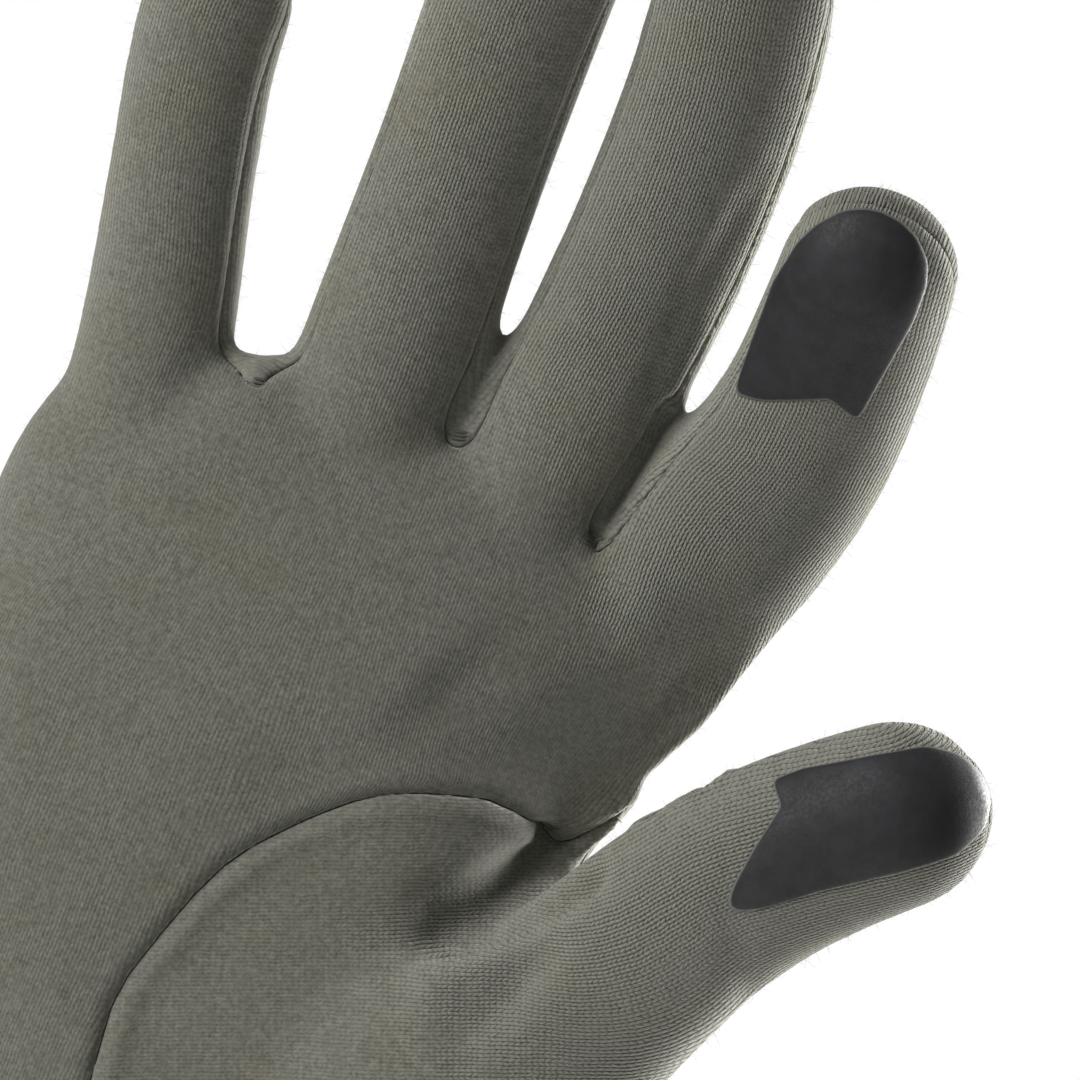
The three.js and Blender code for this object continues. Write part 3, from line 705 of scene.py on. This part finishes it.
def giveStitches(obj, run, around=None):
    corner = np.empty(len(obj.data.loops), dtype=np.int64)
    obj.data.loops.foreach_get("vertex_index", corner)
    pairs = np.column_stack(run)[corner]
    if around is not None:
        sides = pairs.reshape(-1, 4, 2)
        sides[:, :, 0] += np.round((sides[:, :1, 0] - sides[:, :, 0]) / around) * around
        pairs = sides.reshape(-1, 2)
    layer = obj.data.uv_layers.new(name="stitch")
    layer.data.foreach_set("uv", pairs.astype(np.float32).ravel())


def borderPoints(obj):
    edge = np.empty(len(obj.data.edges) * 2, dtype=np.int64)
    obj.data.edges.foreach_get("vertices", edge)
    edge = edge.reshape(-1, 2)
    corner = np.empty(len(obj.data.loops), dtype=np.int64)
    obj.data.loops.foreach_get("edge_index", corner)
    lone = np.bincount(corner, minlength=len(edge)) == 1
    on = np.zeros(len(obj.data.vertices), dtype=bool)
    on[edge[lone].ravel()] = True
    return on, edge


cloth = {"wall": 1.2, "hemWall": 2.4, "pullBack": 0.11}
for name, obj in panels.items():
    at = readPoints(obj)
    run = stitchRun(name, at)
    giveStitches(obj, run, around=run[0].max() - run[0].min() + 0.8 if name == "cuff_hem" else None)
    giveClearness(obj, at)
    on, edge = borderPoints(obj)
    inner = neighbourMean(at, edge)
    step = unit(inner - at) * cloth["pullBack"]
    sewnTight = (at[:, 2:] < 0.5) | (np.abs(at[:, 2:] - form["hemHeight"]) < 0.5)
    at = np.where(on[:, None] & ~sewnTight, at + step, at)
    writePoints(obj, at)
    wall = obj.modifiers.new("wall", "SOLIDIFY")
    wall.thickness = (cloth["hemWall"] if name == "cuff_hem" else cloth["wall"]) * mm
    wall.offset = -1
    applyModifier(obj, "wall")
    smoothShade(obj)
print("walls made:", sum(len(obj.data.polygons) for obj in panels.values()), "faces")


# Node helpers for the materials.
def link(tree, value, socket):
    if isinstance(value, bpy.types.NodeSocket):
        tree.links.new(value, socket)
    else:
        socket.default_value = value


def calc(tree, operation, *values):
    node = tree.nodes.new("ShaderNodeMath")
    node.operation = operation
    for k, value in enumerate(values):
        link(tree, value, node.inputs[k])
    return node.outputs[0]


def noiseOf(tree, vector, scale, detail=2.0, rough=0.5):
    node = tree.nodes.new("ShaderNodeTexNoise")
    link(tree, vector, node.inputs["Vector"])
    node.inputs["Scale"].default_value = scale
    node.inputs["Detail"].default_value = detail
    node.inputs["Roughness"].default_value = rough
    return node.outputs[0]


def mixColor(tree, factor, a, b):
    node = tree.nodes.new("ShaderNodeMix")
    node.data_type = "RGBA"
    link(tree, factor, node.inputs[0])
    link(tree, a if isinstance(a, bpy.types.NodeSocket) else (*a, 1), node.inputs[6])
    link(tree, b if isinstance(b, bpy.types.NodeSocket) else (*b, 1), node.inputs[7])
    return node.outputs[2]


def ramp(tree, value, low, high, outLow=0.0, outHigh=1.0):
    node = tree.nodes.new("ShaderNodeMapRange")
    node.interpolation_type = "SMOOTHSTEP"
    for k, entry in enumerate((value, low, high, outLow, outHigh)):
        link(tree, entry, node.inputs[k])
    return node.outputs[0]


def newMaterial(name):
    material = bpy.data.materials.new(name)
    material.use_nodes = True
    tree = material.node_tree
    place = tree.nodes.new("ShaderNodeTexCoord").outputs["Object"]
    return material, tree, tree.nodes["Principled BSDF"], place


def addBump(tree, shader, height, strength, distance):
    bump = tree.nodes.new("ShaderNodeBump")
    link(tree, strength, bump.inputs["Strength"])
    bump.inputs["Distance"].default_value = distance * mm
    tree.links.new(height, bump.inputs["Height"])
    tree.links.new(bump.outputs[0], shader.inputs["Normal"])


# Knit look. The darkest colour is painted shade for the gaps between the loops; ridge and khaki are the yarn's own
# colours, mixed at random.
knit = {
    "wale": 0.9, "course": 0.7, "slant": 1.1, "wobble": 0.07,
    "gapShade": (0.02, 0.02, 0.017), "ridge": (0.152, 0.152, 0.128), "khaki": (0.15, 0.145, 0.112),
    "relief": 0.3, "bump": 1.0, "felt": 1.1, "uneven": (0.45, 0.6), "fibre": 0.42, "napScale": 230, "patchScale": 70,
    "fibreScale": 3800, "feltScale": 1500, "roughness": 0.95, "sheen": 0.5, "sheenTint": (0.66, 0.65, 0.58, 1),
}


def knitMaterial(name, look):
    material, tree, shader, place = newMaterial(name)
    uvMap = tree.nodes.new("ShaderNodeUVMap")
    uvMap.uv_map = "stitch"
    split = tree.nodes.new("ShaderNodeSeparateXYZ")
    tree.links.new(uvMap.outputs[0], split.inputs[0])
    clear = tree.nodes.new("ShaderNodeAttribute")
    clear.attribute_name = "clearness"
    nap = ramp(tree, noiseOf(tree, place, look["napScale"], 3.0, 0.6), 0.42, 0.66, 1.0, 0.55)
    crisp = calc(tree, "MULTIPLY", clear.outputs["Fac"], nap)
    drift = calc(tree, "SUBTRACT", noiseOf(tree, uvMap.outputs[0], 0.4, 1.0), 0.5)
    driftV = calc(tree, "SUBTRACT", noiseOf(tree, place, 500, 1.0), 0.5)
    u = calc(tree, "MULTIPLY_ADD", drift, look["wobble"] * 5, split.outputs[0])
    v = calc(tree, "MULTIPLY_ADD", driftV, look["wobble"] * 5, split.outputs[1])
    column = calc(tree, "DIVIDE", u, look["wale"])
    off = calc(tree, "ABSOLUTE", calc(tree, "SUBTRACT", calc(tree, "FRACT", column), 0.5))
    row = calc(tree, "MULTIPLY_ADD", off, look["slant"], calc(tree, "DIVIDE", v, look["course"]))
    armSide = calc(tree, "MULTIPLY", calc(tree, "SUBTRACT", off, 0.25), 4.0)
    arm = calc(tree, "SUBTRACT", 1.0, calc(tree, "MULTIPLY", armSide, armSide))
    bead = calc(tree, "SINE", calc(tree, "MULTIPLY", calc(tree, "FRACT", row), math.pi))
    bead = calc(tree, "MULTIPLY_ADD", calc(tree, "POWER", bead, 0.6), 0.65, 0.35)
    height = calc(tree, "MULTIPLY", calc(tree, "POWER", calc(tree, "MAXIMUM", arm, 0.001), 0.7), bead)
    cell = tree.nodes.new("ShaderNodeCombineXYZ")
    tree.links.new(calc(tree, "FLOOR", column), cell.inputs[0])
    tree.links.new(calc(tree, "FLOOR", row), cell.inputs[1])
    speckle = tree.nodes.new("ShaderNodeTexWhiteNoise")
    speckle.noise_dimensions = "2D"
    tree.links.new(cell.outputs[0], speckle.inputs["Vector"])
    fibre = noiseOf(tree, place, look["fibreScale"], 3.0, 0.7)
    uneven = calc(tree, "MULTIPLY_ADD", speckle.outputs["Value"], *look["uneven"])
    height = calc(tree, "MULTIPLY", height, uneven)
    height = calc(tree, "MULTIPLY_ADD", fibre, look["fibre"], height)
    patchy = ramp(tree, noiseOf(tree, place, look["patchScale"], 3.0, 0.6), 0.45, 0.7)
    ridge = mixColor(tree, patchy, look["ridge"], look["khaki"])
    # The colour follows the stitch height, so the low parts between the loops are painted dark as shade; the felt
    # noise adds random tone.
    tone = ramp(tree, height, 0.15, 1.0)
    middle = calc(tree, "MULTIPLY_ADD", crisp, -0.035, 0.52)
    tone = calc(tree, "MULTIPLY_ADD", calc(tree, "SUBTRACT", tone, 0.37), crisp, middle)
    felt = calc(tree, "SUBTRACT", noiseOf(tree, place, look["feltScale"], 3.0, 0.75), 0.5)
    tone = calc(tree, "MULTIPLY_ADD", felt, look["felt"], tone)
    color = mixColor(tree, tone, look["gapShade"], ridge)
    tree.links.new(color, shader.inputs["Base Color"])
    strength = calc(tree, "MULTIPLY", calc(tree, "MINIMUM", crisp, 1.3), look["bump"])
    addBump(tree, shader, height, strength, look["relief"])
    shader.inputs["Roughness"].default_value = look["roughness"]
    shader.inputs["Specular IOR Level"].default_value = 0.1
    shader.inputs["Sheen Weight"].default_value = look["sheen"]
    shader.inputs["Sheen Roughness"].default_value = 0.45
    shader.inputs["Sheen Tint"].default_value = look["sheenTint"]
    return material


clothLook = knitMaterial("jerseyKnit", knit)
# The side strips use a lighter yarn, with a lighter painted shade in their stitch gaps.
stripLook = knitMaterial("stripKnit", {**knit, "bump": 0.5, "gapShade": (0.05, 0.05, 0.042),
                                       "ridge": (0.19, 0.19, 0.162), "khaki": (0.185, 0.18, 0.145)})
for name, obj in panels.items():
    obj.data.materials.append(stripLook if name in strips else clothLook)
    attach(obj, "root")
    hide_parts(name)
print("knit dressed")

# Touch patches: smooth tongues laid on the palm side of the index finger and the thumb.
patches = {
    "index_touch_patch": {
        "digit": "index", "breadth": 16.3, "length": 24.6, "turn": 0, "fromTip": 25.5, "side": -8.4,
        "outline": [(0.05, 0.0), (0.24, 0.01), (0.5, 0.08), (0.68, 0.135), (0.93, 0.09), (0.96, 0.3), (1.0, 0.6),
                    (0.98, 0.77), (0.92, 0.87), (0.79, 0.95), (0.64, 0.99), (0.5, 1.0), (0.37, 0.985), (0.24, 0.94),
                    (0.12, 0.85), (0.04, 0.74), (0.0, 0.55), (0.02, 0.3)],
    },
    "thumb_touch_patch": {
        "digit": "thumb", "breadth": 16.0, "length": 32.7, "turn": 43, "fromTip": 32.4, "side": -10.3,
        "outline": [(0.0, 0.33), (0.18, 0.32), (0.36, 0.18), (0.54, 0.06), (0.66, 0.0), (0.73, 0.01), (0.79, 0.12),
                    (0.83, 0.3), (0.95, 0.62), (1.0, 0.8), (0.93, 0.92), (0.78, 0.99), (0.58, 1.0), (0.38, 0.955),
                    (0.22, 0.86), (0.12, 0.68), (0.01, 0.44)],
    },
}


def outlineRadius(outline, centre, angles):
    rel = np.array(outline) - centre
    radius = np.zeros(len(angles))
    for p, q in zip(rel, np.roll(rel, -1, axis=0)):
        d = q - p
        ray = np.column_stack([np.cos(angles), np.sin(angles)])
        det = ray[:, 0] * -d[1] + ray[:, 1] * d[0]
        det = np.where(np.abs(det) < 1e-9, 1e-9, det)
        far = (p[0] * -d[1] + p[1] * d[0]) / det
        part = (ray[:, 0] * p[1] - ray[:, 1] * p[0]) / det
        hit = (part >= -1e-6) & (part <= 1 + 1e-6) & (far > 0)
        radius = np.where(hit, np.maximum(radius, far), radius)
    return radius


patchForm = {"thick": 0.55, "sunk": 0.25, "under": -0.1, "segments": 160, "rings": 60}
for name, patch in patches.items():
    turn = math.radians(patch["turn"])
    alongDir = np.array([math.sin(turn), math.cos(turn)])
    acrossDir = np.array([math.cos(turn), -math.sin(turn)])
    tip = digits[patch["digit"]]["line"][-1][[0, 2]]
    corner = tip - alongDir * patch["fromTip"] + acrossDir * patch["side"]
    shares = np.array(patch["outline"]) * [patch["breadth"], patch["length"]]
    outline = corner + shares[:, :1] * acrossDir + shares[:, 1:] * alongDir
    centre = corner + acrossDir * patch["breadth"] * 0.52 + alongDir * patch["length"] * 0.5
    ball, row, angle = sphereParts(patchForm["segments"], patchForm["rings"])
    polar = row / patchForm["rings"] * math.pi
    radius = outlineRadius(outline, centre, angle)
    count = patchForm["segments"]
    table = outlineRadius(outline, centre, np.arange(count) / count * 2 * math.pi)
    for _ in range(2):
        table = (np.roll(table, 1) + 2 * table + np.roll(table, -1)) / 4
    radius = np.interp(angle % (2 * math.pi), np.arange(count + 1) / count * 2 * math.pi, np.append(table, table[0]))
    share = np.sin(polar)
    spotX = centre[0] + radius * share * np.cos(angle)
    spotZ = centre[1] + radius * share * np.sin(angle)
    top = row > patchForm["rings"] / 2
    rise = np.where(top, patchForm["thick"] * np.abs(np.cos(polar)) ** 0.35, patchForm["under"])
    rise = rise - patchForm["sunk"] * share**40
    placed = np.empty((len(row), 3))
    for k in range(len(row)):
        hit, normal, _, _ = formTree.ray_cast(Vector((spotX[k], -120, spotZ[k])), Vector((0, 1, 0)))
        if hit is None:
            hit, normal, _, _ = formTree.find_nearest(Vector((spotX[k], -30, spotZ[k])))
        placed[k] = hit + normal * float(rise[k])
    writePoints(ball, placed)
    corners = np.empty(len(ball.data.loops), dtype=np.int64)
    ball.data.loops.foreach_get("vertex_index", corners)
    for layer in list(ball.data.uv_layers):
        ball.data.uv_layers.remove(layer)
    layer = ball.data.uv_layers.new(name="edge")
    edgeRun = np.column_stack([share, np.where(top, 1.0, 0.0)])[corners]
    layer.data.foreach_set("uv", edgeRun.astype(np.float32).ravel())
    ball.name = name.replace("_touch_patch", "TouchPatch")
    smoothShade(ball)
    patch.update(obj=ball, line=outline)

patchTint = {"dark": (0.0125, 0.0125, 0.0135), "light": (0.0175, 0.018, 0.0195), "rim": (0.13, 0.13, 0.12),
             "rimShare": 0.6, "roughness": (0.56, 0.74), "specular": 0.2, "relief": 0.06}
patchLook, tree, shader, place = newMaterial("touchPatch")
edgeMap = tree.nodes.new("ShaderNodeUVMap")
edgeMap.uv_map = "edge"
split = tree.nodes.new("ShaderNodeSeparateXYZ")
tree.links.new(edgeMap.outputs[0], split.inputs[0])
rim = calc(tree, "MULTIPLY", ramp(tree, split.outputs[0], 0.955, 0.975), ramp(tree, split.outputs[0], 0.999, 0.99))
grain = noiseOf(tree, place, 2600, 3.0, 0.6)
mottle = noiseOf(tree, place, 420, 3.0, 0.6)
body = mixColor(tree, ramp(tree, mottle, 0.3, 0.7), patchTint["dark"], patchTint["light"])
color = mixColor(tree, calc(tree, "MULTIPLY", rim, patchTint["rimShare"]), body, patchTint["rim"])
tree.links.new(color, shader.inputs["Base Color"])
tree.links.new(ramp(tree, grain, 0.3, 0.7, *patchTint["roughness"]), shader.inputs["Roughness"])
shader.inputs["Specular IOR Level"].default_value = patchTint["specular"]
addBump(tree, shader, grain, 0.5, patchTint["relief"])
for name, patch in patches.items():
    patch["obj"].data.materials.append(patchLook)
    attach(patch["obj"], "root")
    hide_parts(name)
print("touch patches laid")

# Small parts placed many times: one shape is repeated with an array, then each copy is put in its place.
def repeated(obj, count):
    copies = obj.modifiers.new("copies", "ARRAY")
    copies.count = count
    copies.use_relative_offset = False
    copies.use_constant_offset = True
    copies.constant_offset_displace = (0.001, 0, 0)
    own = readPoints(obj)
    applyModifier(obj, "copies")
    return own


def threadLook(name, color):
    material, tree, shader, place = newMaterial(name)
    dark, light = [tuple(share * c for c in color) for share in (0.75, 1.25)]
    tint = mixColor(tree, noiseOf(tree, place, 900, 2.0), dark, light)
    tree.links.new(tint, shader.inputs["Base Color"])
    shader.inputs["Roughness"].default_value = 0.9
    shader.inputs["Specular IOR Level"].default_value = 0.15
    return material


# Stitches: a bar tack at each finger root and a row round the turned hem.
tacks = {"at": [(-21.0, 155.2), (3.4, 158.4), (22.4, 152.6)], "half": (0.95, 0.2, 0.16), "rows": 3, "pitch": 0.45,
         "run": (1.0, 0, 0.25), "proud": 0.1}
hemRow = {"height": 15.6, "count": 96, "half": (1.0, 0.22, 0.2), "proud": 0.08}
threads = threadLook("sewingThread", (0.085, 0.085, 0.073))


def sewn(name, spots, half):
    bpy.ops.mesh.primitive_uv_sphere_add(segments=10, ring_count=8, radius=0.001)
    obj = bpy.context.object
    own = repeated(obj, len(spots))
    placed = []
    for middle, run, out in spots:
        side = unit(np.cross(out, run))
        placed.append(middle + own[:, :1] * half[0] * run + own[:, 1:2] * half[1] * side + own[:, 2:] * half[2] * out)
    writePoints(obj, np.vstack(placed))
    obj.name = name
    smoothShade(obj)
    obj.data.materials.append(threads)
    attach(obj, "root")


tackSpots = []
for x, z in tacks["at"]:
    for k in range(tacks["rows"]):
        hit, normal, _, _ = formTree.ray_cast(Vector((x, -120, z - tacks["pitch"] * k)), Vector((0, 1, 0)))
        out, run = np.array(normal), np.array(tacks["run"])
        tackSpots.append((np.array(hit) + out * tacks["proud"], unit(run - out * (out @ run)), out))
sewn("barTacks", tackSpots, tacks["half"])
hemSpots = []
for k in range(hemRow["count"]):
    turn = 2 * math.pi * k / hemRow["count"]
    away = Vector((math.cos(turn), math.sin(turn), 0))
    hit, normal, _, _ = formTree.ray_cast(Vector((0, 0, hemRow["height"])), away)
    out = np.array(normal)
    hemSpots.append((np.array(hit) + out * hemRow["proud"], unit(np.cross([0, 0, 1.0], out)), out))
sewn("hemStitches", hemSpots, hemRow["half"])
print("stitches sewn")

# Fine loose fibres over the knit, which give the outline its soft edge.
fuzz = {"count": 44000, "width": 0.034, "length": (0.25, 0.95), "lean": 1.1, "curl": 0.9, "seed": 11, "sunk": 0.12,
        "patchEdge": -0.8}
rng = np.random.default_rng(fuzz["seed"])
bpy.ops.mesh.primitive_grid_add(x_subdivisions=1, y_subdivisions=2, size=0.002)
fibres = bpy.context.object
own = repeated(fibres, fuzz["count"])
areas = np.linalg.norm(faceCross(points, quads), axis=1) / 2
areas = np.where(label == pieces.index("below"), 0, areas)
middles = points[quads].mean(axis=1)
for patch in patches.values():
    covered = insideOutline(middles[:, 0], middles[:, 2], patch["line"]) > fuzz["patchEdge"]
    covered = covered & (faceNormals(points, quads)[:, 1] < 0)
    areas = np.where(covered, 0, areas)
chosen = rng.choice(len(quads), fuzz["count"], p=areas / areas.sum())
mix = rng.dirichlet((1, 1, 1, 1), fuzz["count"])
root = (points[quads[chosen]] * mix[:, :, None]).sum(1)
out = faceNormals(points, quads)[chosen]
lean = rng.normal(size=(fuzz["count"], 3))
lean = unit(lean - out * (lean * out).sum(1)[:, None])
curl = rng.normal(size=(fuzz["count"], 3))
length = fuzz["length"][0] + (fuzz["length"][1] - fuzz["length"][0]) * rng.random(fuzz["count"]) ** 2.2
slope = fuzz["lean"] * rng.random(fuzz["count"]) * 1.6
flat = unit(np.cross(out, lean) + 0.6 * curl)
placed = np.empty((fuzz["count"], len(own), 3))
for k in range(len(own)):
    t = (own[k, 1] + 1) / 2
    path = out * t + lean * (slope * t)[:, None] + unit(curl) * (fuzz["curl"] * t * t)
    breadth = flat * own[k, 0] * fuzz["width"] / 2 * (1 - 0.6 * t)
    placed[:, k] = root - out * fuzz["sunk"] + path * length[:, None] + breadth
writePoints(fibres, placed.reshape(-1, 3))
fibres.name = "looseFibres"
fibreLook = threadLook("fibre", (0.17, 0.168, 0.145))
fibres.data.materials.append(fibreLook)
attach(fibres, "root")
print("fibres laid:", fuzz["count"])

# Studio: white behind the glove, softer grey in front, one large key light from the front left.
studio = {
    "behind": 1.0, "front": 0.3, "aim": (0.02, 0, 0.15),
    "lights": [{"name": "keyLight", "at": (-0.58, -0.42, 0.33), "size": 0.4, "energy": 8.4},
               {"name": "rimLight", "at": (0.4, 0.24, 0.28), "size": 0.3, "energy": 11.0}],
}
world = bpy.data.worlds.new("studio")
bpy.context.scene.world = world
world.use_nodes = True
tree = world.node_tree
direction = tree.nodes.new("ShaderNodeTexCoord").outputs["Generated"]
split = tree.nodes.new("ShaderNodeSeparateXYZ")
tree.links.new(direction, split.inputs[0])
level = ramp(tree, split.outputs[1], -0.05, 0.5, studio["front"], studio["behind"])
tree.links.new(level, tree.nodes["Background"].inputs["Strength"])
tree.nodes["Background"].inputs["Color"].default_value = (1, 1, 1, 1)
for light in studio["lights"]:
    bpy.ops.object.light_add(type="AREA", location=light["at"])
    lamp = bpy.context.object
    lamp.name = light["name"]
    lamp.data.size = light["size"]
    lamp.data.energy = light["energy"]
    lamp.rotation_euler = (Vector(studio["aim"]) - lamp.location).to_track_quat("-Z", "Y").to_euler()
bpy.context.scene.view_settings.view_transform = "Standard"

floor = {"radius": 0.26, "thick": 0.004, "middle": (0.02, 0, -0.062), "color": (0.75, 0.75, 0.74, 1),
         "roughness": 0.8}
bpy.ops.mesh.primitive_cylinder_add(vertices=96, radius=floor["radius"], depth=floor["thick"],
                                    location=floor["middle"])
stand = bpy.context.object
stand.name = "floor"
bpy.ops.object.transform_apply(location=True, rotation=True, scale=True)
floorLook = bpy.data.materials.new("paleFloor")
floorLook.use_nodes = True
floorLook.node_tree.nodes["Principled BSDF"].inputs["Base Color"].default_value = floor["color"]
floorLook.node_tree.nodes["Principled BSDF"].inputs["Roughness"].default_value = floor["roughness"]
stand.data.materials.append(floorLook)
print("studio lit")
